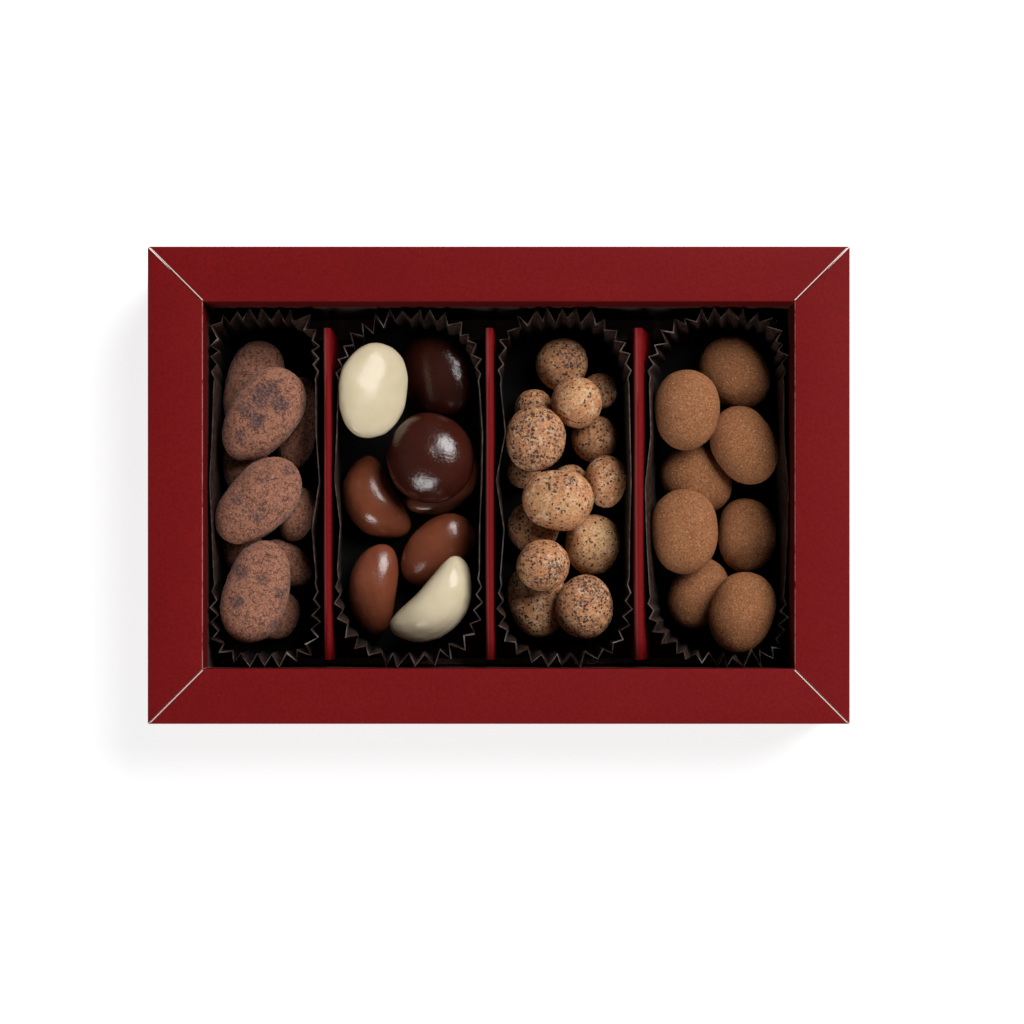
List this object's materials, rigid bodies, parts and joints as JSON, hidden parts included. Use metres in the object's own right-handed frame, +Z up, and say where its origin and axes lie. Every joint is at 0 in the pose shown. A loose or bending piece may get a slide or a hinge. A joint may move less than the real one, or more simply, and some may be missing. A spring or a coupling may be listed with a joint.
{
  "type": "box of chocolate almonds",
  "caption": "Open flat red card gift box parted by card fins, with a fluted paper cup of coated almonds and nuts in each bay.",
  "frame": {"origin": "middle of the box's underside", "axes": "+X along the box's length, +Y across it towards the far side, +Z up out of the open top"},
  "size_m": [0.2, 0.136, 0.034],
  "materials": {
    "red_card": "deep red, smooth satin card",
    "dark_liner": "near-black brown, matte",
    "cup_paper": "dark brown, waxy, fluted",
    "cocoa_dust": "chocolate under a dry coat of cocoa powder",
    "white_chocolate": "cream white chocolate, polished",
    "dark_chocolate": "dark chocolate, highly polished",
    "milk_chocolate": "milk chocolate, polished",
    "speckled_sugar": "pale tan coat with dark specks",
    "brown_dust": "chocolate under a fine brown powder"
  },
  "bodies": {
    "root": {"tray": "red_card", "floor_liner": "dark_liner", "divider_strip": "red_card", "paper_cup_1": "cup_paper", "paper_cup_2": "cup_paper", "paper_cup_3": "cup_paper", "paper_cup_4": "cup_paper", "cocoa_almond_01": "cocoa_dust", "cocoa_almond_02": "cocoa_dust", "cocoa_almond_03": "cocoa_dust", "cocoa_almond_04": "cocoa_dust", "cocoa_almond_05": "cocoa_dust", "cocoa_almond_06": "cocoa_dust", "cocoa_almond_07": "cocoa_dust", "cocoa_almond_08": "cocoa_dust", "cocoa_almond_09": "cocoa_dust", "cocoa_almond_10": "cocoa_dust", "dark_nut_1": "dark_chocolate", "dark_nut_2": "dark_chocolate", "milk_nut_1": "milk_chocolate", "milk_nut_2": "milk_chocolate", "milk_nut_3": "milk_chocolate", "milk_nut_4": "milk_chocolate", "white_nut_1": "white_chocolate", "white_nut_2": "white_chocolate", "speckled_nut_01": "speckled_sugar", "speckled_nut_02": "speckled_sugar", "speckled_nut_03": "speckled_sugar", "speckled_nut_04": "speckled_sugar", "speckled_nut_05": "speckled_sugar", "speckled_nut_06": "speckled_sugar", "speckled_nut_07": "speckled_sugar", "speckled_nut_08": "speckled_sugar", "speckled_nut_09": "speckled_sugar", "speckled_nut_10": "speckled_sugar", "speckled_nut_11": "speckled_sugar", "speckled_nut_12": "speckled_sugar", "speckled_nut_13": "speckled_sugar", "speckled_nut_14": "speckled_sugar", "speckled_nut_15": "speckled_sugar", "dusted_nut_1": "brown_dust", "dusted_nut_2": "brown_dust", "dusted_nut_3": "brown_dust", "dusted_nut_4": "brown_dust", "dusted_nut_5": "brown_dust", "dusted_nut_6": "brown_dust", "dusted_nut_7": "brown_dust", "dusted_nut_8": "brown_dust"}
  },
  "joints": []
}
